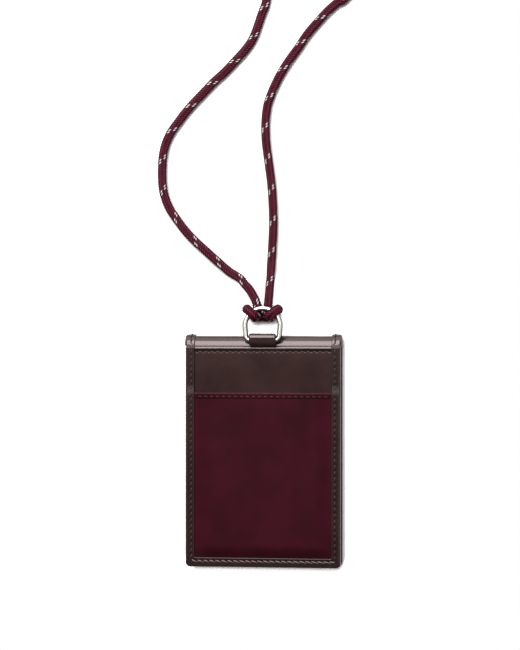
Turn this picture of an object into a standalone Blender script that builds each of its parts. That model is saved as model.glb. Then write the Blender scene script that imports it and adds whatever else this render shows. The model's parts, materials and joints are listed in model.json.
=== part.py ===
"""Lanyard badge holder: a fold-over leather case with two card pockets, a swinging ring and a neck cord.

The closed case lies front up. X runs across it, Y up it towards the cord, and Z out of its front.
Heights along Y are measured from the foot of the front panel until the whole part is centred.
"""

import math

import bmesh
import bpy
import numpy as np
from mathutils import Vector

MM = 0.001
QUARTER = math.pi / 2
CORNER_STEPS = 6
ROUND_STEPS = 24
SHARP_ANGLE = math.radians(60)
WELD_DISTANCE = 0.001 * MM

# Case: overall sizes
FRONT_WIDTH = 76.0 * MM
CASE_HEIGHT = 113.0 * MM
SPINE_RADIUS = 4.0 * MM
SPINE_PROUD = 0.7 * MM
BACK_PROUD = 0.5 * MM
BACK_SHORT = 0.5 * MM
CORNER_RADIUS = 2.2 * MM

# Sheets
COVER_THICK = 1.0 * MM
POCKET_THICK = 0.7 * MM
LINING_THICK = 0.4 * MM
BINDING_THICK = 0.6 * MM
BINDING_WIDTH = 4.3 * MM
BINDING_ROUNDING = 0.36 * MM
WINDOW_THICK = 0.4 * MM
CARD_SPACE = 1.0 * MM
GAP = 0.25 * MM
CREASE_GAP = 0.3 * MM

# Pockets and window
LIP_BELOW_SPINE = 1.0 * MM
POCKET_STEP = 22.7 * MM
POCKET_CORNER = 0.8 * MM
WINDOW_WIDTH = 51.0 * MM
WINDOW_HEIGHT = 78.0 * MM
WINDOW_FOOT = 15.0 * MM
WINDOW_CORNER = 4.0 * MM
WINDOW_LAP = 4.5 * MM

# Ring and tab
WIRE_DIAMETER = 2.5 * MM
RING_BOW_RADIUS = 8.65 * MM
RING_LENGTH = 15.65 * MM
RING_FOOT_HALF = 8.2 * MM
RING_FOOT_CORNER = 2.4 * MM
RING_SLOPE = math.radians(2.9)
TAB_WIDTH = 13.1 * MM
TAB_THICK = 1.2 * MM
TAB_PLAY = 0.5 * MM
TAB_RISE = 1.86 * MM
TAB_SEAT = 0.05 * MM

# Neck cord
CORD_DIAMETER = 4.2 * MM
HITCH_CLEAR = 0.3 * MM
EXIT_DROP = math.radians(9.5)
LEFT_EXIT_X = -9.2 * MM
LEFT_EXIT_REACH = 28.0 * MM
LEFT_EXIT_LEAN = math.radians(-40)
RIGHT_EXIT_X = 3.0 * MM
RIGHT_EXIT_REACH = 27.0 * MM
RIGHT_EXIT_LEAN = math.radians(3)
END_GAP = 0.3 * MM
SLEEVE_LENGTH = 14.0 * MM
SLEEVE_DIAMETER = 6.4 * MM
SLEEVE_ROUNDING = 0.8 * MM
SLEEVE_PLACE = (46.3 * MM, 176.1 * MM)
SLEEVE_LEAN = math.radians(38)
COIL_PLACE = (29.0 * MM, 211.1 * MM)
COIL_RADIUS = 25.0 * MM
COIL_GAP = 0.6 * MM
COIL_TURNS = 3.5
COIL_CLIMB_TURNS = 0.5
LOOP_POINTS = 24
TIE_WIDTH = 5.0 * MM
TIE_THICK = 0.8 * MM
TIE_PLAY = 0.4 * MM
TIE_REST = 0.2 * MM

# Levels of the closed case, from the table up
BACK_FACE = BINDING_THICK + GAP
SPINE_HEIGHT = BACK_FACE + SPINE_RADIUS
FRONT_FACE = SPINE_HEIGHT + SPINE_RADIUS
WINDOW_LOW = BACK_FACE + COVER_THICK + GAP
BACK_LINING_LOW = WINDOW_LOW + WINDOW_THICK + CARD_SPACE
BACK_TOP = BACK_LINING_LOW + LINING_THICK + GAP + BINDING_THICK
FRONT_LINING_LOW = FRONT_FACE - COVER_THICK - GAP - LINING_THICK
FRONT_LOW = FRONT_LINING_LOW - GAP - BINDING_THICK
UPPER_POCKET_LOW = FRONT_FACE + GAP
LOWER_POCKET_LOW = UPPER_POCKET_LOW + POCKET_THICK + GAP
FRONT_TOP = LOWER_POCKET_LOW + POCKET_THICK + GAP + BINDING_THICK

# Heights up the case
SPINE_Y = CASE_HEIGHT - SPINE_RADIUS
LIP_Y = SPINE_Y - LIP_BELOW_SPINE
LOWER_LIP_Y = LIP_Y - POCKET_STEP
FOLD_Y = LIP_Y - CREASE_GAP
SHEET_TOP = FOLD_Y - CREASE_GAP
EDGE_INSET = BINDING_THICK + GAP

# The ring's bar lies over the rolled spine, square to its surface, with the tab's loop between them
TAB_STAND_OFF = WIRE_DIAMETER / 2 + TAB_PLAY + TAB_THICK + TAB_SEAT
TAB_ANGLE = math.asin(TAB_RISE / (SPINE_RADIUS + TAB_STAND_OFF))
BAR_Y = SPINE_Y + TAB_RISE
BAR_Z = SPINE_HEIGHT + (SPINE_RADIUS + TAB_STAND_OFF) * math.cos(TAB_ANGLE)
RING_TOP_Y = BAR_Y + RING_LENGTH * math.cos(RING_SLOPE) + WIRE_DIAMETER / 2
CENTRE_Y = RING_TOP_Y / 2

# The cord lies on the table, its places measured up from the ring's bar
HITCH_REACH = (WIRE_DIAMETER + CORD_DIAMETER) / 2 + HITCH_CLEAR
HITCH_LEAN = 0.1  # how far the bight sits to the left, for its depth behind the wire
CORD_REST = CORD_DIAMETER / 2 + END_GAP
COIL_PITCH = CORD_DIAMETER + COIL_GAP
COIL_FLOOR = CORD_DIAMETER / 2 + TIE_PLAY + TIE_THICK + TIE_REST
COIL_CENTRE = (COIL_PLACE[0], BAR_Y + COIL_PLACE[1])


def clear_scene():
    for old in list(bpy.data.objects):
        bpy.data.objects.remove(old, do_unlink=True)


def new_collection(name):
    collection = bpy.data.collections.new(name)
    bpy.context.scene.collection.children.link(collection)
    return collection


def finish(name, colour, roughness, metallic=0.0, alpha=1.0):
    """A plain Principled material with one colour."""
    material = bpy.data.materials.new(name)
    material.use_nodes = True
    shader = material.node_tree.nodes["Principled BSDF"]
    shader.inputs["Base Color"].default_value = (*colour, 1.0)
    shader.inputs["Roughness"].default_value = roughness
    shader.inputs["Metallic"].default_value = metallic
    shader.inputs["Alpha"].default_value = alpha
    return material


def joint_empty(name, y, z, parent=None, slope=0.0):
    """An empty on a joint's axis, in the case's own heights."""
    empty = bpy.data.objects.new(name, None)
    parts.objects.link(empty)
    empty.location = (0, y, z)
    empty.rotation_euler = (slope, 0, 0)
    empty.parent = parent
    return empty


def carry(piece, axis):
    """Hang a piece that is modelled in the case's heights on a joint's empty."""
    piece.parent = axis
    if axis is not case:
        piece.matrix_parent_inverse = axis.matrix_basis.inverted()


def as_mesh(curve_object, name, material, collection):
    """The curve's evaluated solid as a mesh object, with its caps welded on."""
    bpy.context.view_layer.update()
    evaluated = curve_object.evaluated_get(bpy.context.evaluated_depsgraph_get())
    mesh = bpy.data.meshes.new_from_object(evaluated)
    welded = bmesh.new()
    welded.from_mesh(mesh)
    bmesh.ops.remove_doubles(welded, verts=welded.verts, dist=WELD_DISTANCE)
    bmesh.ops.recalc_face_normals(welded, faces=welded.faces)
    welded.to_mesh(mesh)
    welded.free()
    mesh.materials.clear()
    if material:
        mesh.materials.append(material)
    solid = bpy.data.objects.new(name, mesh)
    solid.matrix_world = curve_object.matrix_world
    collection.objects.link(solid)
    shape = curve_object.data
    bpy.data.objects.remove(curve_object, do_unlink=True)
    bpy.data.curves.remove(shape)
    return solid


def outline_curve(outlines, half_depth):
    """A filled flat curve of closed outlines, with a depth to both sides of its plane."""
    curve = bpy.data.curves.new("outline", "CURVE")
    curve.dimensions = "2D"
    curve.fill_mode = "BOTH"
    curve.extrude = half_depth
    for points in outlines:
        spline = curve.splines.new("POLY")
        spline.points.add(len(points) - 1)
        spline.points.foreach_set("co", [value for x, y in points for value in (x, y, 0, 1)])
        spline.use_cyclic_u = True
    holder = bpy.data.objects.new("outline", curve)
    parts.objects.link(holder)
    return holder


def plate(name, material, outlines, low, high, collection=None):
    """A flat sheet in the XY plane between two levels."""
    curve = outline_curve(outlines, (high - low) / 2)
    curve.location = (0, 0, (low + high) / 2)
    return as_mesh(curve, name, material, collection or parts)


def side_extrusion(name, material, outlines, low_x, high_x, collection=None):
    """An outline drawn in the YZ plane, carried along X."""
    curve = outline_curve(outlines, (high_x - low_x) / 2)
    curve.rotation_euler = (math.pi / 2, 0, math.pi / 2)
    curve.location = ((low_x + high_x) / 2, 0, 0)
    return as_mesh(curve, name, material, collection or parts)


def arc(centre, radius, start, end, steps):
    """Points along a circular arc, angles in radians."""
    angles = np.linspace(start, end, steps + 1)
    return [(centre[0] + radius * math.cos(a), centre[1] + radius * math.sin(a)) for a in angles]


def panel_outline(half_width, foot, top, foot_corner, top_corner=0.0):
    """A panel with round lower corners and, where asked, round upper ones."""
    low = foot + foot_corner
    high = top - top_corner
    points = arc((-half_width + foot_corner, low), foot_corner, 2 * QUARTER, 3 * QUARTER, CORNER_STEPS)
    points += arc((half_width - foot_corner, low), foot_corner, 3 * QUARTER, 4 * QUARTER, CORNER_STEPS)
    if top_corner:
        points += arc((half_width - top_corner, high), top_corner, 0, QUARTER, CORNER_STEPS)
        points += arc((-half_width + top_corner, high), top_corner, QUARTER, 2 * QUARTER, CORNER_STEPS)
    else:
        points += [(half_width, top), (-half_width, top)]
    return points


def roll_outline(outer, inner, start):
    """A U on its side: two straight flanges from a starting height, joined by the spine's half round."""
    centre = (SPINE_Y, SPINE_HEIGHT)
    around = [(start, SPINE_HEIGHT - outer)] + arc(centre, outer, -QUARTER, QUARTER, ROUND_STEPS)
    around += [(start, SPINE_HEIGHT + outer), (start, SPINE_HEIGHT + inner)]
    around += arc(centre, inner, QUARTER, -QUARTER, ROUND_STEPS)
    around += [(start, SPINE_HEIGHT - inner)]
    return around


def cut(piece, cutter):
    """Take a cutter's shape out of a piece."""
    cutter.hide_render = True
    cutter.display_type = "WIRE"
    boolean = piece.modifiers.new("cut_" + cutter.name, "BOOLEAN")
    boolean.operation = "DIFFERENCE"
    boolean.solver = "EXACT"
    boolean.object = cutter


def soften(piece, width, segments=2):
    """Round off the sharp edges of a sheet or channel."""
    bevel = piece.modifiers.new("soft_edges", "BEVEL")
    bevel.width = width
    bevel.segments = segments
    bevel.limit_method = "ANGLE"
    bevel.angle_limit = SHARP_ANGLE


def panel_binding(name, half_width, foot, low, high, axis):
    """Channel strip that wraps a panel's two sides and its foot."""
    reach = SHEET_TOP + CORNER_RADIUS
    inside = half_width - BINDING_WIDTH
    slot_half = half_width - BINDING_THICK
    slot_corner = CORNER_RADIUS - BINDING_THICK
    around = panel_outline(half_width, foot, SHEET_TOP, CORNER_RADIUS)
    strip = plate(name, leather_brown, [around], low, high)
    soften(strip, BINDING_ROUNDING)
    face = plate(
        name + "_face_cutter", None,
        [panel_outline(inside, foot + BINDING_WIDTH, reach, POCKET_CORNER)],
        low - CORNER_RADIUS, high + CORNER_RADIUS, cutters,
    )
    slot = plate(
        name + "_slot_cutter", None,
        [panel_outline(slot_half, foot + BINDING_THICK, reach, slot_corner)],
        low + BINDING_THICK, high - BINDING_THICK, cutters,
    )
    cut(strip, face)
    cut(strip, slot)
    for piece in (strip, face, slot):
        carry(piece, axis)
    return strip


def smooth_route(points, spacing):
    """Even points on a Catmull-Rom curve through a route's points, its first and last runs straight."""
    knots = np.array([tuple(p) for p in points], float)
    knots = np.vstack([2 * knots[0] - knots[1], knots, 2 * knots[-1] - knots[-2]])
    steps = 40
    t = np.linspace(0, 1, steps, endpoint=False)[:, None]
    runs = []
    for before, start, end, after in zip(knots, knots[1:], knots[2:], knots[3:]):
        runs.append(
            start
            + t * (end - before) / 2
            + t**2 * (before - 2.5 * start + 2 * end - after / 2)
            + t**3 * (1.5 * (start - end) + (after - before) / 2)
        )
    fine = np.vstack(runs[1:-1] + [knots[-3:-2]])
    along = np.concatenate([[0], np.cumsum(np.linalg.norm(np.diff(fine, axis=0), axis=1))])
    stations = np.linspace(0, along[-1], max(2, round(along[-1] / spacing)) + 1)
    middle = np.column_stack([np.interp(stations, along, fine[:, i]) for i in range(3)])
    return np.vstack([knots[1:2], middle, knots[-2:-1]])


def length_of(points):
    return float(np.linalg.norm(np.diff(points, axis=0), axis=1).sum())


def least_gap(points, diameter):
    """Clear distance between turns: the nearest points over two and a half diameters apart along it."""
    fine = smooth_route(points, diameter / 8)
    along = np.concatenate([[0], np.cumsum(np.linalg.norm(np.diff(fine, axis=0), axis=1))])
    apart = np.linalg.norm(fine[:, None] - fine[None], axis=2)
    apart[np.abs(along[:, None] - along[None]) < 2.5 * diameter] = np.inf
    return float(apart.min()) - diameter


def tell_gap(name, path):
    """Print a wound tube's length and the least gap that it leaves to itself."""
    length = round(length_of(path) / MM, 1)
    print(name, length, "mm long, least gap", round(least_gap(path, CORD_DIAMETER) / MM, 2), "mm")


def tube(name, material, points, diameter, sides_level, cyclic=False):
    """A round tube along a chain of points, with filled ends."""
    curve = bpy.data.curves.new(name, "CURVE")
    curve.dimensions = "3D"
    curve.bevel_depth = diameter / 2
    curve.bevel_resolution = sides_level
    curve.use_fill_caps = not cyclic
    spline = curve.splines.new("POLY")
    spline.points.add(len(points) - 1)
    spline.points.foreach_set("co", [value for p in points for value in (*p, 1)])
    spline.use_cyclic_u = cyclic
    spline.use_smooth = True
    curve.materials.append(material)
    wire = bpy.data.objects.new(name, curve)
    parts.objects.link(wire)
    return wire


def make_front():
    """The front panel: cover, lining, two pockets and their binding."""
    half = FRONT_WIDTH / 2
    sheet_half = half - EDGE_INSET
    sheet_corner = CORNER_RADIUS - EDGE_INSET
    whole = panel_outline(sheet_half, EDGE_INSET, SHEET_TOP, sheet_corner)
    pieces = [
        plate("front_cover", leather_brown, [whole], FRONT_FACE - COVER_THICK, FRONT_FACE),
        plate("front_lining", lining_cloth, [whole], FRONT_LINING_LOW, FRONT_LINING_LOW + LINING_THICK),
    ]
    lips = (
        ("upper_pocket", leather_brown, LIP_Y, UPPER_POCKET_LOW),
        ("lower_pocket", leather_burgundy, LOWER_LIP_Y, LOWER_POCKET_LOW),
    )
    for name, material, lip, low in lips:
        outline = panel_outline(sheet_half, EDGE_INSET, lip, sheet_corner, POCKET_CORNER)
        pieces.append(plate(name, material, [outline], low, low + POCKET_THICK))
    for piece in pieces:
        carry(piece, front_fold)
    panel_binding("front_binding", half, 0, FRONT_LOW, FRONT_TOP, front_fold)


def make_back():
    """The back panel: cover with its window opening, the clear window, lining and binding."""
    half = FRONT_WIDTH / 2 + BACK_PROUD
    sheet_half = half - EDGE_INSET
    foot = BACK_SHORT + EDGE_INSET
    sheet_corner = CORNER_RADIUS - EDGE_INSET
    whole = panel_outline(sheet_half, foot, SHEET_TOP, sheet_corner)
    opening, pane = (
        panel_outline(
            WINDOW_WIDTH / 2 + lap,
            WINDOW_FOOT - lap,
            WINDOW_FOOT + WINDOW_HEIGHT + lap,
            WINDOW_CORNER,
            WINDOW_CORNER,
        )
        for lap in (0, WINDOW_LAP)
    )
    pieces = [
        plate("back_cover", leather_brown, [whole, opening], BACK_FACE, BACK_FACE + COVER_THICK),
        plate("id_window", clear_sheet, [pane], WINDOW_LOW, WINDOW_LOW + WINDOW_THICK),
        plate("back_lining", lining_cloth, [whole], BACK_LINING_LOW, BACK_LINING_LOW + LINING_THICK),
    ]
    for piece in pieces:
        carry(piece, back_fold)
    panel_binding("back_binding", half, BACK_SHORT, 0, BACK_TOP, back_fold)


def make_spine():
    """The rolled spine: leather, lining and the binding over its ends, with a slot for the ring's tab."""
    half = FRONT_WIDTH / 2 + SPINE_PROUD
    sheet_half = half - EDGE_INSET
    roll_inner = SPINE_RADIUS - COVER_THICK
    lining_outer = roll_inner - GAP
    lining_inner = lining_outer - LINING_THICK
    leather = roll_outline(SPINE_RADIUS, roll_inner, FOLD_Y)
    roll = side_extrusion("spine_roll", leather_brown, [leather], -sheet_half, sheet_half)
    cloth = roll_outline(lining_outer, lining_inner, FOLD_Y)
    lining = side_extrusion("spine_lining", lining_cloth, [cloth], -sheet_half, sheet_half)
    stem = tab_stem(TAB_THICK + GAP, roll_inner - GAP / 2)
    slot_half = TAB_WIDTH / 2 + GAP
    slot = side_extrusion("tab_slot_cutter", None, [stem], -slot_half, slot_half, cutters)
    cut(roll, slot)
    pieces = [roll, lining, slot]
    channel = roll_outline(SPINE_RADIUS + EDGE_INSET, lining_inner - EDGE_INSET, LIP_Y + CREASE_GAP)
    groove = roll_outline(SPINE_RADIUS + GAP, lining_inner - GAP, FOLD_Y - CREASE_GAP)
    for side, name in ((-1, "spine_binding_left"), (1, "spine_binding_right")):
        inner_x = side * (half - BINDING_WIDTH - SPINE_PROUD)
        ends = sorted((inner_x, side * half))
        strip = side_extrusion(name, leather_brown, [channel], *ends)
        soften(strip, BINDING_ROUNDING)
        ends = sorted((inner_x - side * CORNER_RADIUS, side * (half - BINDING_THICK)))
        inside = side_extrusion(name + "_cutter", None, [groove], *ends, cutters)
        cut(strip, inside)
        pieces += [strip, inside]
    for piece in pieces:
        carry(piece, case)


def tab_frame(across, out):
    """A point beside the ring's bar: across the tab's stem, and out along the spine's normal there."""
    y = BAR_Y + across * math.cos(TAB_ANGLE) + out * math.sin(TAB_ANGLE)
    z = BAR_Z - across * math.sin(TAB_ANGLE) + out * math.cos(TAB_ANGLE)
    return y, z


def tab_stem(half, depth_radius):
    """The straight stem under the loop, down to a radius inside the rolled spine."""
    deep = depth_radius - SPINE_RADIUS - TAB_STAND_OFF
    return [tab_frame(-half, deep), tab_frame(half, deep), tab_frame(half, 0), tab_frame(-half, 0)]


def make_tab():
    """The leather tab: one strip looped round the ring's bar, its two ends sewn into the spine's slot."""
    bore = WIRE_DIAMETER / 2 + TAB_PLAY
    outer = bore + TAB_THICK
    deep = -COVER_THICK - TAB_STAND_OFF
    meet = math.asin(TAB_THICK / outer)
    start = -math.pi / 2 + meet
    loop = arc((0, 0), outer, start, start + 2 * math.pi - 2 * meet, ROUND_STEPS)
    loop += [(-TAB_THICK, deep), (TAB_THICK, deep)]
    eye = arc((0, 0), bore, 0, 2 * math.pi, ROUND_STEPS)[:-1]
    outlines = [[tab_frame(a, b) for a, b in path] for path in (loop, eye)]
    tab = side_extrusion("ring_tab", leather_brown, outlines, -TAB_WIDTH / 2, TAB_WIDTH / 2)
    carry(tab, case)


def ring_centreline():
    """A D: the bow's half circle, two nearly straight sides and round corners down to the bar."""
    bow = (0, RING_LENGTH - RING_BOW_RADIUS)
    corner_x = RING_FOOT_HALF - RING_FOOT_CORNER
    path = arc(bow, RING_BOW_RADIUS, 0, math.pi, ROUND_STEPS)
    path += arc((-corner_x, RING_FOOT_CORNER), RING_FOOT_CORNER, math.pi, 1.5 * math.pi, CORNER_STEPS)
    path += arc((corner_x, RING_FOOT_CORNER), RING_FOOT_CORNER, 1.5 * math.pi, 2 * math.pi, CORNER_STEPS)
    return [(x, v, 0) for x, v in path]


def hitch_point(along, out, front):
    """A point by the ring's bow, in reaches of the cord from the wire: leftwards, outwards and frontwards."""
    turn = along * HITCH_REACH / RING_BOW_RADIUS
    radius = RING_BOW_RADIUS + out * HITCH_REACH
    return (
        -radius * math.sin(turn) + HITCH_LEAN * min(front, 0.0) * HITCH_REACH,
        RING_LENGTH - RING_BOW_RADIUS + radius * math.cos(turn),
        front * HITCH_REACH,
    )


def hitch_route():
    """The lark's head: behind the wire, forward through the ring, over its front and back along the bight."""
    left = [
        (0.56, 0.8, -0.96), (0.66, 0.08, -1.02), (1.0, -0.68, -0.72), (1.42, -1.04, 0.0),
        (1.42, -0.71, 0.8), (1.5, 0.0, 1.03), (1.57, 0.6, 0.82), (1.6, 1.02, 0.0),
        (1.68, 0.85, -1.05), (1.72, 0.3, -1.97), (1.72, -0.28, -2.32), (1.33, -0.82, -2.38),
    ]
    bight = [(0.0, -1.0, -2.38)]
    right = [(-along, out, front) for along, out, front in reversed(left)]
    return [hitch_point(*p) for p in left + bight + right]


def strand_exit(x, reach, lean):
    """Where a strand leaves the hitch: its end and its heading, square to the ring's swing."""
    drop = -EXIT_DROP
    end = Vector((x, reach * math.cos(drop), reach * math.sin(drop)))
    heading = Vector((math.sin(lean), math.cos(lean) * math.cos(drop), math.cos(lean) * math.sin(drop)))
    return end, heading


def make_ring():
    """The D-ring and the hitched cord that swings with it. Gives the strands' exits."""
    ring = tube("d_ring", nickel, ring_centreline(), WIRE_DIAMETER, 3, cyclic=True)
    ring.parent = ring_axis
    left = strand_exit(LEFT_EXIT_X, LEFT_EXIT_REACH, LEFT_EXIT_LEAN)
    right = strand_exit(RIGHT_EXIT_X, RIGHT_EXIT_REACH, RIGHT_EXIT_LEAN)
    ends = [[end, end - heading * CORD_DIAMETER] for end, heading in (left, right)]
    path = smooth_route(ends[0] + hitch_route() + ends[1][::-1], CORD_DIAMETER / 2)
    hitch = tube("lanyard_hitch", cord_burgundy, path, CORD_DIAMETER, 2)
    hitch.parent = ring_axis
    tell_gap("hitch", path)
    return left, right


def in_case(point):
    """A point of the ring's own frame, in the case's heights."""
    return ring_axis.matrix_basis @ Vector(point)


def coil_route():
    """Two flat layers: a spiral in, a climb in the half turn where it reverses, and a spiral out on top."""
    turn = np.linspace(0, COIL_TURNS, round(COIL_TURNS * LOOP_POINTS) + 1)
    middle = COIL_TURNS / 2
    climb = np.clip((turn - middle) / COIL_CLIMB_TURNS + 0.5, 0, 1)
    rise = climb * climb * (3 - 2 * climb)
    radius = COIL_RADIUS - COIL_PITCH * (middle - np.abs(turn - middle))
    angle = math.pi - 2 * math.pi * turn
    x = COIL_CENTRE[0] + radius * np.cos(angle)
    y = COIL_CENTRE[1] + radius * np.sin(angle)
    return np.column_stack([x, y, COIL_FLOOR + COIL_PITCH * rise])


def strand_start(exit_place):
    """The first straight run of a strand, face to face with the hitch's end."""
    end, heading = exit_place
    way = ring_axis.matrix_basis.to_3x3() @ heading
    face = in_case(end) + way * END_GAP
    return [face, face + way * CORD_DIAMETER]


def on_table(places):
    """Places in mm beside and above the ring's bar, as points at the height of the resting cord."""
    return [(x * MM, BAR_Y + y * MM, CORD_REST) for x, y in places]


def make_left_strand(exit_place, coil_start):
    """The strand that swings out to the left and runs up into the coil."""
    places = [
        (-17.6, 34.0), (-23.1, 38.7), (-29.1, 44.1), (-34.6, 49.1), (-39.6, 54.5), (-44.1, 60.5),
        (-47.6, 66.0), (-50.1, 73.0), (-50.9, 81.1), (-50.6, 90.3), (-49.1, 97.3), (-46.6, 102.7),
        (-43.1, 107.6), (-38.1, 114.0), (-30.6, 121.9), (-25.1, 127.5), (-19.6, 132.4), (-14.6, 137.6),
        (-9.6, 143.0), (-5.2, 149.7), (-1.2, 161.0), (0.8, 166.4), (2.8, 179.1), (3.8, 191.1),
    ]
    face = coil_start - Vector((0, END_GAP, 0))
    route = strand_start(exit_place) + on_table(places) + [face - Vector((0, CORD_DIAMETER, 0)), face]
    path = smooth_route(route, 2 * CORD_DIAMETER)
    carry(tube("cord_left", cord_burgundy, path, CORD_DIAMETER, 2), case)
    return length_of(path)


def make_right_strand(exit_place, sleeve_near, sleeve_way):
    """The strand that runs straight up and bends away to the right, to the join."""
    places = [
        (3.4, 37.5), (3.9, 45.4), (4.3, 53.3), (4.4, 60.7), (4.1, 68.1), (3.5, 77.0), (2.5, 84.7),
        (1.5, 92.3), (0.7, 99.2), (0.6, 107.6), (1.5, 115.5), (3.3, 121.0), (5.6, 126.3), (8.4, 131.7),
        (12.2, 137.6), (16.6, 143.6), (21.1, 150.2), (26.5, 156.5), (31.4, 161.7), (36.4, 165.9),
    ]
    face = sleeve_near - sleeve_way * END_GAP
    route = strand_start(exit_place) + on_table(places) + [face - sleeve_way * CORD_DIAMETER, face]
    path = smooth_route(route, 2 * CORD_DIAMETER)
    carry(tube("cord_right", cord_burgundy, path, CORD_DIAMETER, 2), case)
    return length_of(path)


def make_cord(left_exit, right_exit):
    """The neck cord: its two strands as they lie, the rest of it in a coil, its join and its tie."""
    coil = coil_route()
    coil_start = Vector(coil[0]) - Vector((0, CORD_DIAMETER, 0))
    sleeve_mid = Vector((SLEEVE_PLACE[0], BAR_Y + SLEEVE_PLACE[1], SLEEVE_DIAMETER / 2))
    sleeve_way = Vector((math.sin(SLEEVE_LEAN), math.cos(SLEEVE_LEAN), 0))
    half_sleeve = sleeve_way * SLEEVE_LENGTH / 2
    left_length = make_left_strand(left_exit, coil_start)
    right_length = make_right_strand(right_exit, sleeve_mid - half_sleeve, sleeve_way)

    last = Vector(coil[-1])
    sleeve_face = sleeve_mid + half_sleeve + sleeve_way * END_GAP
    run_out = [last + Vector(step) * MM for step in ((0.2, -7.0, -0.6), (0.2, -14.0, -2.6))]
    tail = [*coil[-2:], *run_out, sleeve_face + sleeve_way * CORD_DIAMETER, sleeve_face]
    tail_path = smooth_route(tail, 2 * math.pi * COIL_RADIUS / LOOP_POINTS)
    coil_path = np.vstack([[coil_start], coil, tail_path[2:]])
    carry(tube("cord_coil", cord_burgundy, coil_path, CORD_DIAMETER, 1), case)
    tell_gap("coil", coil_path)
    print("strands", round(left_length / MM, 1), "and", round(right_length / MM, 1), "mm")
    make_sleeve(sleeve_mid, sleeve_way)
    make_tie()


def make_sleeve(middle, way):
    """The short sleeve that joins the cord's two ends into a loop."""
    bpy.ops.mesh.primitive_cylinder_add(
        vertices=ROUND_STEPS, radius=SLEEVE_DIAMETER / 2, depth=SLEEVE_LENGTH
    )
    sleeve = bpy.context.object
    sleeve.name = "cord_join_sleeve"
    sleeve.data.materials.append(leather_brown)
    for owner in list(sleeve.users_collection):
        owner.objects.unlink(sleeve)
    parts.objects.link(sleeve)
    sleeve.location = middle
    sleeve.rotation_euler = way.to_track_quat("Z", "Y").to_euler()
    soften(sleeve, SLEEVE_ROUNDING)
    carry(sleeve, case)


def make_tie():
    """A strap round the coil where four turns lie two by two."""
    outer_turn = COIL_CENTRE[1] + COIL_RADIUS - COIL_PITCH / 4
    inner_turn = outer_turn - COIL_PITCH
    reach = CORD_DIAMETER / 2 + TIE_PLAY
    corner = CORD_DIAMETER / 2
    low = COIL_FLOOR - reach
    high = COIL_FLOOR + COIL_PITCH + reach
    middle = (outer_turn + inner_turn) / 2
    half = (outer_turn - inner_turn) / 2 + reach
    bore = panel_outline(half, low, high, corner, corner)
    round_corner = corner + TIE_THICK
    band = panel_outline(half + TIE_THICK, low - TIE_THICK, high + TIE_THICK, round_corner, round_corner)
    outlines = [[(middle + y, z) for y, z in path] for path in (band, bore)]
    left = COIL_CENTRE[0] - TIE_WIDTH / 2
    tie = side_extrusion("coil_tie", leather_brown, outlines, left, left + TIE_WIDTH)
    carry(tie, case)


clear_scene()
parts = new_collection("lanyard_badge_holder")
cutters = new_collection("lanyard_badge_holder_cutters")

leather_brown = finish("brown_leather", (0.042, 0.024, 0.024), 0.45)
leather_burgundy = finish("burgundy_leather", (0.052, 0.008, 0.014), 0.5)
lining_cloth = finish("lining_cloth", (0.035, 0.022, 0.022), 0.85)
clear_sheet = finish("clear_sheet", (0.85, 0.87, 0.88), 0.1, alpha=0.3)
nickel = finish("polished_nickel", (0.72, 0.70, 0.67), 0.15, metallic=1.0)
cord_burgundy = finish("burgundy_cord", (0.14, 0.02, 0.045), 0.7)

case = joint_empty("case", -CENTRE_Y, 0)
front_fold = joint_empty("front_fold", FOLD_Y, UPPER_POCKET_LOW + POCKET_THICK, case)
back_fold = joint_empty("back_fold", FOLD_Y, 0, case)
ring_axis = joint_empty("ring_swing", BAR_Y, BAR_Z, case, -RING_SLOPE)
bpy.context.view_layer.update()

make_front()
make_back()
make_spine()
make_tab()
make_cord(*make_ring())
for axis in (case, front_fold, back_fold, ring_axis):
    bpy.context.view_layer.update()
    print(axis.name, [round(value / MM, 3) for value in axis.matrix_world.translation], "mm")
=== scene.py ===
"""The looks of a lanyard badge holder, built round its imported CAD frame.

The closed case lies on its back, pockets up: X runs across it, Y up towards the cord, Z out of its front.
Shapes are worked out in millimetres.
"""

import json
import math

import bpy
import numpy as np
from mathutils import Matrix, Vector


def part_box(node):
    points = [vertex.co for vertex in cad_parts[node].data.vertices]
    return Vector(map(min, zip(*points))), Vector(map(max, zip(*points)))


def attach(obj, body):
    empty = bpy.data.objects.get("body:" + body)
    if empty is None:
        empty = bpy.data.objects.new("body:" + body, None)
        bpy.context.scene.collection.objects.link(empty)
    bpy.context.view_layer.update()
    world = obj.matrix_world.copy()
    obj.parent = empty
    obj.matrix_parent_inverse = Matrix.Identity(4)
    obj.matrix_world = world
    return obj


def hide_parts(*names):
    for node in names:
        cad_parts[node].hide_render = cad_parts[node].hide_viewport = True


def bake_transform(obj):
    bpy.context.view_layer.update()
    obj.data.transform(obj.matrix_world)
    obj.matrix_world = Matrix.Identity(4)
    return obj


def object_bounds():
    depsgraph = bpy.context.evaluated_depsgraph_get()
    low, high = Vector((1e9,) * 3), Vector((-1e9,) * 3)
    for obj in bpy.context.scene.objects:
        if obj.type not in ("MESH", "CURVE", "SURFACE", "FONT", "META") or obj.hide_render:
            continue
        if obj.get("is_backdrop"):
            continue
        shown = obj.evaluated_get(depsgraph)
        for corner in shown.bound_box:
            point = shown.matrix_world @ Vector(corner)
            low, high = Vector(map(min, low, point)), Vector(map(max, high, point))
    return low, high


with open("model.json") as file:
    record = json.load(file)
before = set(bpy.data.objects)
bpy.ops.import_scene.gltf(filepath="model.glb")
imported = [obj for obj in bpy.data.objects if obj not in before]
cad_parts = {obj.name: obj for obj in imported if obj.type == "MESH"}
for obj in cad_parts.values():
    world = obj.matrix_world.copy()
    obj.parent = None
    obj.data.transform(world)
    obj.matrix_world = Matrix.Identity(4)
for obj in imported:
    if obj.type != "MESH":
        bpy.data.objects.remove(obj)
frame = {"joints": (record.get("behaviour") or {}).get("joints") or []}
cad_low, cad_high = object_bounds()

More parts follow.
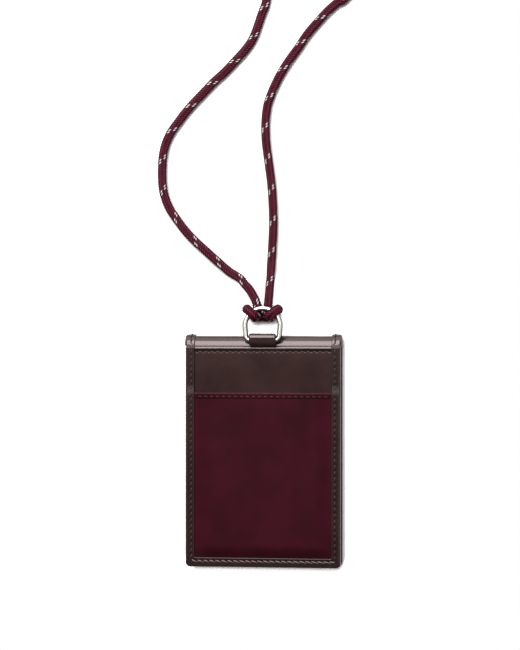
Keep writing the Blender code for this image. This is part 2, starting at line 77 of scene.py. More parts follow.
# Neck cord
# A braided polyester cord, 4.2 mm thick, of 24 yarns, two of them white. It is hitched round the ring in a
# lark's head, and its two ends meet in a sleeve. It lies loose on the table, its spare length in a coil.
MM = 0.001
CORD_DIAMETER = 4.2
WIRE_DIAMETER = 2.5
BOW_RADIUS = 8.65
RING_LENGTH = 15.65
RING_SLOPE = math.radians(-2.9)
HITCH_REACH = (WIRE_DIAMETER + CORD_DIAMETER) / 2 + 0.3
BAR = np.array(next(j["pos_m"] for j in frame["joints"] if j["name"] == "ring_swing")) / MM
c, s = math.cos(RING_SLOPE), math.sin(RING_SLOPE)
RING_TURN = np.array([[1, 0, 0], [0, c, s], [0, -s, c]])


def in_case(points):
    """Points of the ring's own frame, turned about X by the ring's slope and moved to its bar."""
    return np.asarray(points) @ RING_TURN + BAR


def hitch_points():
    """A lark's head by the ring's bow, in reaches of the cord from the wire: left, outwards, frontwards."""
    left = np.array([
        (0.56, 0.8, -0.96), (0.66, 0.08, -1.02), (1.0, -0.68, -0.72), (1.42, -1.04, 0.0),
        (1.42, -0.71, 0.8), (1.5, 0.0, 1.03), (1.57, 0.6, 0.82), (1.6, 1.02, 0.0),
        (1.68, 0.85, -1.05), (1.72, 0.3, -1.97), (1.72, -0.28, -2.32), (1.33, -0.82, -2.38),
    ])
    bight = np.array([(0.0, -1.0, -2.38)])
    along, out, front = np.vstack([left, bight, left[::-1] * [-1, 1, 1]]).T * HITCH_REACH
    turn, radius = along / BOW_RADIUS, BOW_RADIUS + out
    rise = RING_LENGTH - BOW_RADIUS + radius * np.cos(turn)
    lean = 0.1 * np.minimum(front, 0)
    return in_case(np.column_stack([lean - radius * np.sin(turn), rise, front]))


def strand_exit(x, reach, lean):
    """A strand's last point on the hitch and its heading, dropping by 9.5 degrees to the table."""
    drop, lean = math.radians(-9.5), math.radians(lean)
    end = in_case([(x, reach * math.cos(drop), reach * math.sin(drop))])[0]
    way = [(math.sin(lean), math.cos(lean) * math.cos(drop), math.cos(lean) * math.sin(drop))]
    return end, in_case(way)[0] - BAR


def on_table(places, height):
    """Places beside and above the ring's bar, at one height over the table."""
    flat = np.array(places)
    return np.column_stack([flat[:, 0], BAR[1] + flat[:, 1], np.full(len(flat), height)])


def ease(share):
    """A smooth step: 0 below 0, 1 above 1, three squares less two cubes between them."""
    share = np.clip(share, 0, 1)
    return share * share * (3 - 2 * share)


def coil_points(widest, x, rise, low, turns=3.5, climb_turns=0.5, gap=0.6):
    """Two flat layers of loops: a spiral in, a climb in the half turn where it reverses, a spiral out."""
    pitch = CORD_DIAMETER + gap
    turn = np.linspace(0, turns, round(turns * 24) + 1)
    climb = ease((turn - turns / 2) / climb_turns + 0.5)
    radius = widest - pitch * (turns / 2 - np.abs(turn - turns / 2))
    angle = math.pi - math.tau * turn
    y = BAR[1] + rise + radius * np.sin(angle)
    return np.column_stack([x + radius * np.cos(angle), y, low + pitch * climb])


def lengths_along(line):
    """The distance from a line's first point to each of its points."""
    return np.hstack([[0], np.cumsum(np.linalg.norm(np.diff(line, axis=0), axis=1))])


def at_lengths(line, places, values):
    """Values given at a line's points, at other places along it."""
    return np.stack([np.interp(places, lengths_along(line), column) for column in values.T], axis=-1)


def evenly(line, count):
    """A line's course in evenly spaced points."""
    return at_lengths(line, np.linspace(0, lengths_along(line)[-1], count), line)


def unit(vectors):
    """Vectors made one long."""
    return vectors / np.linalg.norm(vectors, axis=-1, keepdims=True)


def smooth_line(knots, first, last, spacing):
    """Even points on a closed Catmull-Rom curve through the knots, from one knot's index to another's."""
    k = np.arange(first, last)
    before, start, end, after = (knots[(k + i) % len(knots)][:, None] for i in (-1, 0, 1, 2))
    t = np.linspace(0, 1, 40, endpoint=False)[None, :, None]
    fine = (
        start + t * (end - before) / 2 + t**2 * (before - 2.5 * start + 2 * end - after / 2)
        + t**3 * (1.5 * (start - end) + (after - before) / 2)
    ).reshape(-1, knots.shape[1])
    fine = np.vstack([fine, knots[last % len(knots)]])
    return evenly(fine, round(lengths_along(fine)[-1] / spacing) + 1)


LEFT_PLACES = [
    (-17.6, 34.0), (-23.1, 38.7), (-29.1, 44.1), (-34.6, 49.1), (-39.6, 54.5), (-44.1, 60.5),
    (-47.6, 66.0), (-50.1, 73.0), (-50.9, 81.1), (-50.6, 90.3), (-49.1, 97.3), (-46.6, 102.7),
    (-43.1, 107.6), (-38.1, 114.0), (-30.6, 121.9), (-25.1, 127.5), (-19.6, 132.4), (-14.6, 137.6),
    (-9.6, 143.0), (-5.2, 149.7), (-1.2, 161.0), (0.8, 166.4), (2.8, 179.1), (3.8, 191.1),
]
RIGHT_PLACES = [
    (3.4, 37.5), (3.9, 45.4), (4.3, 53.3), (4.4, 60.7), (4.1, 68.1), (3.5, 77.0), (2.5, 84.7),
    (1.5, 92.3), (0.7, 99.2), (0.6, 107.6), (1.5, 115.5), (3.3, 121.0), (5.6, 126.3), (8.4, 131.7),
    (12.2, 137.6), (16.6, 143.6), (21.1, 150.2), (26.5, 156.5), (31.4, 161.7), (36.4, 165.9),
]
CORD_REST = CORD_DIAMETER / 2 + 0.3
SLEEVE_MIDDLE = np.array([46.3, BAR[1] + 176.1, 3.2])
SLEEVE_WAY = np.array([math.sin(math.radians(38)), math.cos(math.radians(38)), 0])
SLEEVE_LENGTH = 14.0

left_end, left_way = strand_exit(x=-9.2, reach=28.0, lean=-40)
right_end, right_way = strand_exit(x=3.0, reach=27.0, lean=3)
coil = coil_points(widest=25.0, x=29.0, rise=211.1, low=3.5)
run_out = coil[-1] + np.array([(0.2, -7.0, -0.6), (0.2, -14.0, -2.6)])
hitch = hitch_points()
sleeve_reach = SLEEVE_WAY * (SLEEVE_LENGTH / 2 + CORD_DIAMETER)
knots = np.vstack([
    left_end, left_end - left_way * CORD_DIAMETER, hitch, right_end - right_way * CORD_DIAMETER,
    right_end, right_end + right_way * CORD_DIAMETER, on_table(RIGHT_PLACES, CORD_REST),
    SLEEVE_MIDDLE - sleeve_reach, SLEEVE_MIDDLE, SLEEVE_MIDDLE + sleeve_reach, run_out[::-1], coil[::-1],
    coil[0] - np.array([0, CORD_DIAMETER, 0]), on_table(LEFT_PLACES[::-1], CORD_REST),
    left_end + left_way * CORD_DIAMETER,
])
YARNS_EACH_WAY = 12
TRACER_PITCH = 15.3
TRACER_START = -1 / YARNS_EACH_WAY
CORD_SIDES = 3 * YARNS_EACH_WAY
RING_SPACING = TRACER_PITCH / CORD_SIDES
TIGHTER = 0.935
hitch_line = smooth_line(knots, 0, len(hitch) + 3, TIGHTER * RING_SPACING)
free_line = smooth_line(knots, len(hitch) + 3, len(knots), RING_SPACING)
whole_turns = round((len(hitch_line) + len(free_line)) / CORD_SIDES)
free_rings = whole_turns * CORD_SIDES - len(hitch_line) + 1
free_line = evenly(free_line, free_rings + 1)
cord_line = np.vstack([hitch_line, free_line[1:-1]])
right_rings, left_rings = round(165 / RING_SPACING), round(215 / RING_SPACING)
coil_rings = len(free_line) - right_rings - left_rings
ROLL_STATIONS = np.cumsum([0, len(hitch_line), right_rings, coil_rings, left_rings])
ROLL_DEGREES = [-28, 25, 25, -28, -28]


def untwisted_frames(line):
    """Normals and binormals round a closed line: each normal is the last one, made square to the line again.
    What is left over after one round is spread evenly, so that the ends meet. The cord is also rolled over
    a little on its way, turning evenly between the given stations."""
    tangent = unit(np.roll(line, -1, axis=0) - np.roll(line, 1, axis=0))
    normal = np.empty_like(tangent)
    turning = np.cross(tangent[0], (0, 0, 1.0))
    for i, way in enumerate(np.vstack([tangent, tangent[:1]])):
        turning = turning - way * (turning @ way)
        turning = turning / np.linalg.norm(turning)
        if i < len(line):
            normal[i] = turning
    binormal = np.cross(tangent, normal)
    left_over = math.atan2(turning @ binormal[0], turning @ normal[0])
    station = np.arange(len(line))
    back = np.interp(station, ROLL_STATIONS, np.radians(ROLL_DEGREES)) - left_over * station / len(line)
    c, s = np.cos(back)[:, None], np.sin(back)[:, None]
    return normal * c + binormal * s, binormal * c - normal * s


BRAID_DEPTH = 0.36
YARN_PROUD = 0.12


def braid(around, along):
    """Height of a two-over-two braid, 0 to 1. Yarns wind both ways; each has a round section, and is over for
    two crossings and under for two, in a half sine. The higher of the two yarns shows."""
    a = YARNS_EACH_WAY * (around - along)
    b = YARNS_EACH_WAY * (around + along)
    section_a, section_b = 4 * (a % 1) * (1 - a % 1), 4 * (b % 1) * (1 - b % 1)
    over_a = np.sin(math.pi / 2 * (np.floor(a) + b))
    over_b = -np.sin(math.pi / 2 * (a + np.floor(b)))
    return np.maximum(section_a * (0.55 + 0.45 * over_a), section_b * (0.55 + 0.45 * over_b))


def put(name, data):
    """An object of the scene with this data."""
    thing = bpy.data.objects.new(name, data)
    bpy.context.scene.collection.objects.link(thing)
    return thing


def fit(name, rings, material, body, *nodes, values=None, closed=False, chart=None):
    """A piece from closed loops of points, or a set of like ones. It has its material's slot, rides on a body
    and stands for CAD nodes. Quads join each loop to the next. The end loops are shut like a zip, first half
    against second, unless the loops run right round. Faces are turned to point out. A chart gives UVs."""
    count, rows, columns = rings.shape[-4] if rings.ndim == 4 else 1, *rings.shape[-3:-1]
    i = np.arange(rows if closed else rows - 1)[:, None]
    j = np.arange(columns)[None]
    down, across = (i + 1) % rows * columns, (j + 1) % columns
    quads = np.stack([i * columns + j, i * columns + across, down + across, down + j], axis=-1).reshape(-1, 4)
    if not closed:
        j = np.arange(columns // 2 - 1)
        shut = np.column_stack([j, j + 1, columns - 2 - j, columns - 1 - j])
        quads = np.vstack([quads, shut[:, ::-1], shut + (rows - 1) * columns])
    quads = (quads + np.arange(count)[:, None, None] * rows * columns).reshape(-1, 4)
    points = rings.reshape(-1, 3) * MM
    a, b, c, d = (points[quads[:, k]] for k in range(4))
    if (np.cross(a, b) * c + np.cross(a, c) * d).sum() < 0:
        quads = quads[:, ::-1]
    mesh = bpy.data.meshes.new(name)
    mesh.from_pydata(points, [], quads)
    for key, value in (values or {}).items():
        spread = np.broadcast_to(value, rings.shape[:-1]).astype(np.float32)
        mesh.attributes.new(key, "FLOAT", "POINT").data.foreach_set("value", spread.ravel())
    if chart is not None:
        around, along = chart[0][quads % columns], chart[1][quads // columns]
        around = around + (around < around.max(axis=1, keepdims=True) - 0.5)
        uv = np.stack([around, along], axis=-1).astype(np.float32)
        mesh.uv_layers.new(name="braid").uv.foreach_set("vector", uv.ravel())
    mesh.validate()
    mesh.shade_smooth()
    piece = put(name, mesh)
    mesh.materials.append(material)
    if nodes:
        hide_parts(*nodes)
    if body:
        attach(piece, body)
    return piece


def pressed(rings, middle):
    """The hitch drawn tight: where the cord's middle is near the wire, its points come closer by a fifth of
    their distance and spread a little along the bow."""
    bow = np.array([0, RING_LENGTH - BOW_RADIUS, 0])
    near, core = ((points - BAR) @ RING_TURN.T - bow for points in (rings, middle))
    core_away = np.hypot(np.hypot(core[:, 0], core[:, 1]) - BOW_RADIUS, core[:, 2])
    share = np.clip((1.75 * HITCH_REACH - core_away) / (0.5 * HITCH_REACH), 0, 1)[:, None]
    radius, turn = np.hypot(near[..., 0], near[..., 1]), np.arctan2(near[..., 0], near[..., 1])
    out, front = radius - BOW_RADIUS, near[..., 2]
    pull = 1 - 0.22 * share * np.clip(1 - 1.4 / np.hypot(out, front), 0, 1)
    radius, turn = BOW_RADIUS + out * pull, turn * (1 + 0.1 * share)
    return in_case(np.dstack([radius * np.sin(turn), radius * np.cos(turn), front * pull]) + bow)


def cord_rings(first, last):
    """The braided tube between two stations of the line, as high as the braid. Gives its chart too."""
    ring = np.arange(first, last + 1)
    picked = ring % len(cord_line)
    around = (np.arange(CORD_SIDES) + 0.5) / CORD_SIDES
    along = ring / CORD_SIDES + TRACER_START
    radius = CORD_DIAMETER / 2 + YARN_PROUD - BRAID_DEPTH * (1 - braid(around[None], along[:, None]))
    c, s = np.cos(math.tau * around)[None, :, None], np.sin(math.tau * around)[None, :, None]
    out = cord_normal[picked][:, None] * c + cord_binormal[picked][:, None] * s
    return cord_line[picked][:, None] + out * radius[..., None], (around, along)


def linear(hex_colour):
    """An sRGB hex colour as linear RGBA: each channel through the sRGB curve."""
    srgb = np.array([int(hex_colour[i:i + 2], 16) for i in (1, 3, 5)]) / 255
    return (*np.where(srgb <= 0.04045, srgb / 12.92, ((srgb + 0.055) / 1.055) ** 2.4), 1.0)


def plug(node, inputs):
    """Fill a node's inputs, by name or in the order of those in use: with a link from a socket or a node's
    first output in use, a hex colour, or a constant."""
    sockets = [socket for socket in node.inputs if socket.enabled]
    if isinstance(inputs, dict):
        sockets, inputs = [node.inputs[name] for name in inputs], inputs.values()
    for socket, value in zip(sockets, inputs):
        if isinstance(value, bpy.types.Node):
            value = next(output for output in value.outputs if output.enabled)
        if isinstance(value, bpy.types.NodeSocket):
            node.id_data.links.new(value, socket)
        else:
            socket.default_value = linear(value) if isinstance(value, str) else value


def adder(tree):
    """The function that adds a node to a tree, with its settings and inputs. A kind in capitals is the
    operation of a Math node."""
    def add(kind, inputs=(), **settings):
        if kind.isupper():
            kind, settings = "Math", {"operation": kind}
        node = tree.nodes.new("ShaderNode" + kind)
        for name, value in settings.items():
            setattr(node, name, value)
        plug(node, inputs)
        return node
    return add


def new_material(name, slot, **constants):
    """A material, with constants on its Principled shader; its slot is not used. Gives it, its adder and the
    shader.
    """
    material = bpy.data.materials.new(name)
    material.use_nodes = True
    shader = material.node_tree.nodes["Principled BSDF"]
    plug(shader, {key.replace("_", " ").title().replace("Ior", "IOR"): constants[key] for key in constants})
    return material, adder(material.node_tree), shader


# Dyed polyester yarn, matt. Painted shade, nearly black, lies down between the yarns, and a painted sheen
# makes the yarns of one winding lighter where they lie on top. The colours follow the braid of the shape,
# worked out from the UV map; two yarns side by side are white.
cord_braid, add, shader = new_material("braided_polyester", "cord", roughness=0.7, specular_ior_level=0.12)
chart = add("SeparateXYZ", [add("UVMap", uv_map="braid")]).outputs
windings = []
for turn in ("SUBTRACT", "ADD"):
    crossing = add(turn, (chart[0], chart[1]))
    crossing = add("MULTIPLY", (crossing, YARNS_EACH_WAY))
    yarn = add("FLOOR", [crossing])
    across = add("SUBTRACT", (crossing, yarn))
    rest = add("SUBTRACT", (1.0, across))
    section = add("MULTIPLY", (across, rest))
    windings.append((crossing, yarn, section))
heights = []
for (_, yarn, section), (crossing, _, _), sign in ((*windings, 1), (*windings[::-1], -1)):
    phase = add("ADD", (yarn, crossing))
    phase = add("MULTIPLY", (phase, math.pi / 2))
    over = add("SINE", [phase])
    lifted = add("MULTIPLY_ADD", (over, sign * 1.8, 2.2))
    heights.append(add("MULTIPLY", (lifted, section)))
upper = add("GREATER_THAN", heights)
height = add("MAXIMUM", heights)
which = add("FLOORED_MODULO", (windings[0][1], YARNS_EACH_WAY))
is_white = add("LESS_THAN", (which, 1.5))
white = add("MULTIPLY", (is_white, upper))
place = add("TexCoord").outputs["Object"]
blotch = add("TexNoise", (place, 1 / (2 * MM), 3.0))
uneven = add("MapRange", (blotch, 0.3, 0.7, 0, 0.6))
# Painted sheen: the yarns of one winding are painted lighter where they lie on top.
sheen_tone = add("MULTIPLY_ADD", (upper, 0.8, uneven))
dyed = add("Mix", (sheen_tone, "#27040c", "#8b2945"), data_type="RGBA")
dashed = add("Mix", (white, dyed, "#f4ecea"), data_type="RGBA")
# Painted shade: the low places between the yarns go nearly black.
raised = add("MapRange", (height, 0.42, 0.95))
sunk = add("Mix", (raised, "#170309", dashed), data_type="RGBA")
plug(shader, {"Base Color": sunk})
cord_normal, cord_binormal = untwisted_frames(cord_line)
rings, chart = cord_rings(0, len(hitch_line) - 1)
hitch_cord = fit("hitch_cord", pressed(rings, hitch_line), cord_braid, None, "lanyard_hitch", chart=chart)
rings, chart = cord_rings(len(hitch_line) - 1, len(cord_line))
neck_cord = fit("neck_cord", rings, cord_braid, None, "cord_left", "cord_right", "cord_coil", chart=chart)
for bent in (hitch_cord, neck_cord):
    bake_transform(bent)

# Join sleeve and coil tie
# A strip of thin leather is wrapped and glued round the cord where its two ends meet. A flat leather band
# gathers the coil of spare cord. Both lie on the cord, out of the way of the case.


def leather(name, slot, dark, light, wear_and_highlight, roughness, **constants):
    """Dyed cowhide: a fine pebbled grain and soft clouds of colour. It is paler where rubbed and where a
    highlight is painted on lit edges, and almost black with painted shade in stitch holes, grooves and
    creases.
    """
    material, add, shader = new_material(name, slot, **constants)
    place = add("TexCoord").outputs["Object"]
    clouds = add("TexNoise", (place, 1 / (14 * MM), 4.0))
    cloudy = add("MapRange", (clouds, 0.35, 0.65))
    dyed = add("Mix", (cloudy, dark, light), data_type="RGBA")
    # Paler by a weight that stands both for rubbing and for painted highlights on lit edges.
    rubbed_and_lit = add("Attribute", attribute_name="wear_and_highlight").outputs["Fac"]
    specks = add("TexNoise", (place, 1 / (1.5 * MM), 3.0))
    share = add("MULTIPLY", (rubbed_and_lit, specks))
    edged = add("Mix", (share, dyed, wear_and_highlight), data_type="RGBA")
    # Painted shade: this weight darkens stitch holes, grooves, seams and a pocket's foot to near black.
    hole = add("Attribute", attribute_name="pit_and_shade").outputs["Fac"]
    pit_shaded = add("Mix", (hole, edged, "#050303"), data_type="RGBA")
    matt = add("MapRange", (specks, 0, 1, roughness - 0.03, roughness + 0.03))
    grain = add("TexVoronoi", (place, 1 / (0.8 * MM)))
    pebbled = add("Bump", {"Height": grain, "Distance": 0.03 * MM, "Strength": 0.25})
    plug(shader, {"Base Color": pit_shaded, "Roughness": matt, "Normal": pebbled})
    return material


# Brown leather with a waxed, glossy finish, so that it mirrors a lamp softly and is dark elsewhere.
brown_leather = leather(
    "brown_waxed_leather", "brown_leather", "#2b1b1a", "#352321", "#5c4843", 0.17,
    specular_ior_level=0.62, specular_tint="#f6e6e6",
)


def sleeve_rings(length, bore, radius, rounding):
    """A wrapped tube: circles along its way, rounded at both ends, with a step at the seam."""
    end = np.radians(np.linspace(0, 90, 7))
    straight = np.linspace(rounding, length / 2, 12)[1:]
    along = np.hstack([[0], rounding - rounding * np.cos(end), straight])
    reach = np.hstack([[bore], radius - rounding + rounding * np.sin(end), np.full(11, radius)])
    along, reach = np.hstack([along, length - along[-2::-1]]), np.hstack([reach, reach[-2::-1]])
    theta = math.tau * np.arange(48) / 48
    seam = 0.16 * (theta / math.tau - 0.5) * ease((math.tau - theta) / 0.3)
    side = np.cross(SLEEVE_WAY, (0, 0, 1.0))
    round_ = np.cos(theta)[:, None] * np.array([0, 0, -1.0]) + np.sin(theta)[:, None] * side
    swell = reach[:, None] + seam[None] * (reach[:, None] - bore) / (radius - bore)
    middle = SLEEVE_MIDDLE + SLEEVE_WAY * (along - length / 2)[:, None]
    return middle[:, None] + round_[None] * swell[..., None]


def rounded(distance, thick):
    """A sheet's thickness near its cut edge: a half round, blunt at the very edge."""
    share = np.clip(np.asarray(distance) / (thick / 2), 0.06, 1)
    return thick * np.sqrt(1 - (1 - share) ** 2)


def thicken(middle, thick):
    """Closed sections from middle lines in a plane: out along their left at half the thickness, back along
    their right."""
    run = unit(np.gradient(middle, axis=-2))
    half = np.stack([-run[..., 1], run[..., 0]], axis=-1) * np.asarray(thick)[..., None] / 2
    return np.concatenate([middle + half, (middle - half)[..., ::-1, :]], axis=-2)


def arc(centre, radius, first, last, steps):
    """Points of a circle from one angle to another, in degrees."""
    angle = np.radians(np.linspace(first, last, steps + 1))
    return np.asarray(centre) + radius * np.column_stack([np.cos(angle), np.sin(angle)])


def right_of(line):
    """Unit vectors to the right of the way a closed plane line runs."""
    run = unit(np.roll(line, -1, axis=0) - np.roll(line, 1, axis=0))
    return np.column_stack([run[:, 1], -run[:, 0]])


def across_x(x, sections):
    """Loops in YZ, one for all or one each, set at their places across X."""
    sections = np.broadcast_to(sections, (len(x),) + sections.shape[-2:])
    return np.dstack([np.broadcast_to(x[:, None], sections.shape[:2]), sections])


def tie_rings(low, high, thick, bend=2.5):
    """A flat band carried round a rounded rectangle in YZ, its section thinned at both edges."""
    (y0, z0), (y1, z1) = low[1:] + thick / 2 + bend, high[1:] - thick / 2 - bend
    corners = enumerate(((y1, z1), (y0, z1), (y0, z0), (y1, z0)))
    path = np.vstack([arc(centre, bend, 90 * k, 90 * k + 90, 12) for k, centre in corners])
    path = evenly(np.vstack([path, path[:1]]), 121)[:-1]
    across = np.linspace(low[0], high[0], 25)
    flat = np.column_stack([across, np.zeros(25)])
    section = thicken(flat, rounded(np.minimum(across - low[0], high[0] - across), thick))
    yz = path[:, None] + right_of(path)[:, None] * section[None, :, 1:]
    return np.dstack([np.broadcast_to(section[:, 0], yz.shape[:2]), yz])


rings, values = sleeve_rings(SLEEVE_LENGTH, bore=2.0, radius=3.2, rounding=0.8), {"wear_and_highlight": 0.15}
join_sleeve = fit("join_sleeve", rings, brown_leather, "spine", "cord_join_sleeve", values=values)
rings = tie_rings(*(np.array(corner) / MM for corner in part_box("coil_tie")), thick=0.8)
coil_band = fit("coil_band", rings, brown_leather, "spine", "coil_tie", values=values, closed=True)

# D-ring
# Nickel-plated steel wire, 2.5 mm thick, bent to a D and polished. Its straight bar turns in the leather tab,
# and the cord is hitched to its bow.
WIRE_ANGLES = math.tau * np.arange(28) / 28


def ring_rings(half, corner):
    """A round section square to the D: a bow of half a circle, and a bar with two rounded corners."""
    d = np.vstack([
        arc((0, RING_LENGTH - BOW_RADIUS), BOW_RADIUS, 0, 180, 60),
        arc((corner - half, corner), corner, 180, 270, 16),
        arc((half - corner, corner), corner, 270, 360, 16),
    ])
    line = evenly(np.vstack([d, d[:1]]), 221)[:-1]
    line = sum(np.roll(line, k, axis=0) for k in range(-3, 4)) / 7
    flat = line[:, None] + right_of(line)[:, None] * (WIRE_DIAMETER / 2 * np.cos(WIRE_ANGLES))[None, :, None]
    height = np.broadcast_to(WIRE_DIAMETER / 2 * np.sin(WIRE_ANGLES), flat.shape[:2])
    return in_case(np.dstack([flat, height]))


outward = np.cos(WIRE_ANGLES)
# Painted dark reflections at the sides of the wire, strongest on the inner side of the D.
painted_dark_edges = ease((-outward - 0.45) / 0.3) + ease((outward - 0.65) / 0.25)
# Bright nickel plate: nearly a mirror, a little yellow, dulled in patches by handling. The sides of the wire
# have painted dark reflections, most of all inside the D.
nickel, add, shader = new_material("polished_nickel", "nickel", metallic=1.0)
place = add("TexCoord").outputs["Object"]
dark_edges = add("Attribute", attribute_name="painted_dark_edges").outputs["Fac"]
plated = add("Mix", (dark_edges, "#d9d4cd", "#35342f"), data_type="RGBA")
handled = add("TexNoise", (place, 1 / (2.5 * MM), 5.0))
dulled = add("MapRange", (handled, 0, 1, 0.06, 0.2))
plug(shader, {"Base Color": plated, "Roughness": dulled})
rings = ring_rings(half=8.2, corner=2.4)
fit("wire_ring", rings, nickel, "ring", "d_ring", values={"painted_dark_edges": painted_dark_edges}, closed=True)

# Ring tab
# A strip of the brown leather looped round the ring's bar. Its two ends go through a slot in the spine and
# are glued between the leather and the lining.
TAB_HALF = 6.55
TAB_THICK = 1.2
TAB_LOOP = WIRE_DIAMETER / 2 + 0.5 + TAB_THICK / 2
SPINE_CENTRE = np.array([45.13, 4.85])
EDGE_STEPS = np.array([0, 0.03, 0.09, 0.18, 0.32])


def stations(first, last, step, fine_from=None, fine=0.2):
    """Places across a sheet: crowded at its two rounded edges, and finer from one place on if given."""
    low, high = first + 0.6, last - 0.6
    change = high if fine_from is None else fine_from
    coarse = np.linspace(low, change, max(2, round((change - low) / step) + 1))
    close = np.linspace(change, high, max(1, round((high - change) / fine) + 1))[1:]
    return np.hstack([first + EDGE_STEPS, coarse, close, last - EDGE_STEPS[::-1]])


def tab_rings():
    """A strip folded to an eye: up from the slot, round the bar and down again, leaning out from the spine,
    flatter where the open front lies against it, its upper half drawn over towards the ring."""
    stem = np.array([(-0.62, -5.0), (-0.62, -4.0), (-0.62, -3.3), (-0.95, -2.55)])
    eye = arc((0, 0), TAB_LOOP, 230, -50, 20)
    fold = smooth_line(np.vstack([stem, eye, stem[::-1] * [-1, 1]]), 1, len(eye) + 6, 0.2)
    x = stations(-TAB_HALF, TAB_HALF, 0.5)
    thick = rounded(TAB_HALF - np.abs(x), TAB_THICK)[:, None]
    section = thicken(np.broadcast_to(fold, (len(x),) + fold.shape), thick)
    section[..., 0] *= np.where(section[..., 0] < 0, 0.88, 1)
    section[..., 0] += 0.4 * np.maximum(section[..., 1], 0)
    lean = math.asin((BAR[1] - SPINE_CENTRE[0]) / np.linalg.norm(BAR[1:] - SPINE_CENTRE))
    c, s = math.cos(lean), math.sin(lean)
    return across_x(x, section @ np.array([[c, -s], [s, c]]) + BAR[1:])


fit("ring_loop", tab_rings(), brown_leather, "spine", "ring_tab", values={"wear_and_highlight": 0.1})

# Spine
# The brown leather runs over the fold in a half roll, lined with cloth. It is what the front and back panels
# fold on, and the ring tab comes out of it.
FOLD_Y = 43.83
SPINE_HALF = 37.85
LINING_RADIUS = 2.55


def half_roll(start, radius, turns):
    """Half an ellipse from the front over the spine to the back, for radii and turns that broadcast. Its
    middle is where the roll starts, and it reaches as far as a round roll on the spine's centre."""
    y = start + (radius + SPINE_CENTRE[0] - start) * np.cos(turns)
    return np.stack([y, SPINE_CENTRE[1] + radius * np.sin(turns)], axis=-1)


def roll_rings(radius, thick, uneven):
    """A sheet rolled over the spine, its radius a little uneven."""
    x = stations(-SPINE_HALF, SPINE_HALF, 0.6)
    wave = uneven * (np.sin(x / 6.5) + 0.7 * np.sin(x / 2.9 + 1.0))
    middle = half_roll(FOLD_Y, (radius + wave)[:, None], np.radians(np.linspace(90, -90, 49))[None])
    return across_x(x, thicken(middle, rounded(SPINE_HALF - np.abs(x), thick)[:, None]))


rings = roll_rings(radius=3.5, thick=1.0, uneven=0.03)
spine_leather = fit("spine_leather", rings, brown_leather, "spine", "spine_roll")
# Thin taffeta: a dull dark brown, its warp and weft a faint weave of crossed sine ridges. Real threads are
# 0.3 mm apart; they are drawn at 0.8 mm so that they show.
lining_cloth, add, shader = new_material("woven_taffeta", "lining", roughness=0.85, specular_ior_level=0.2)
place = add("TexCoord").outputs["Object"]
ridge = (place, math.pi / (10 * 0.8 * MM), 0.3)
threads = [add("TexWave", ridge, bands_direction=way).outputs["Fac"] for way in "XY"]
woven = add("MULTIPLY", threads)
tinted = add("Mix", (woven, "#2b211f", "#55453f"), data_type="RGBA")
ridges = add("Bump", {"Height": woven, "Distance": 0.1 * MM, "Strength": 0.5})
plug(shader, {"Base Color": tinted, "Normal": ridges})
rings = roll_rings(LINING_RADIUS, thick=0.4, uneven=0.0)
spine_cloth = fit("spine_cloth", rings, lining_cloth, "spine", "spine_lining")

# Spine-end bindings
# A strip of the brown leather is folded over each end of the spine and sewn through with dark waxed thread.
STITCH_PITCH = 2.95
SEWN_IN = 2.8
STRIP_THICK = 0.6


def channel_loop(width, low, high):
    """The closed section of a folded strip, in from the edge and up: from lip to edge, round it and back, its
    lips rounded. Its first half is the outside."""
    half, bend = STRIP_THICK / 2, 0.55
    inner = half + bend
    flat = np.hstack([width - EDGE_STEPS, np.linspace(width - 0.5, inner, 15)[:-1]])
    middle = np.vstack([
        np.column_stack([flat, np.full(len(flat), low + half)]),
        arc((inner, low + inner), bend, 270, 180, 6),
        np.linspace((half, low + inner), (half, high - inner), 7)[1:-1],
        arc((inner, high - inner), bend, 180, 90, 6),
        np.column_stack([flat[::-1], np.full(len(flat), high - half)]),
    ])
    along = lengths_along(middle)
    return thicken(middle, rounded(np.minimum(along, along[-1] - along), STRIP_THICK))


def stitch_margin(length):
    """What is left over at each end of a row of whole stitches."""
    return (length - length // STITCH_PITCH * STITCH_PITCH) / 2


def bell(off, width):
    """A bell curve: 1 in the middle, falling as e to the minus square of the distance in widths."""
    return np.exp(-(off / width) ** 2)


def drawn_in(along, off, length, furrow=0.05, hole_depth=0.12):
    """How deep thread draws leather in: a furrow along the row and a pit at each hole. Gives the pits too,
    whose weight is also painted as shade.
    """
    hole = (along - stitch_margin(length) + STITCH_PITCH / 2) % STITCH_PITCH - STITCH_PITCH / 2
    pit_and_shade = bell(hole + 0.5 * off, 0.42) * bell(off, 0.55)
    return furrow * bell(off, 0.7) + hole_depth * pit_and_shade, pit_and_shade


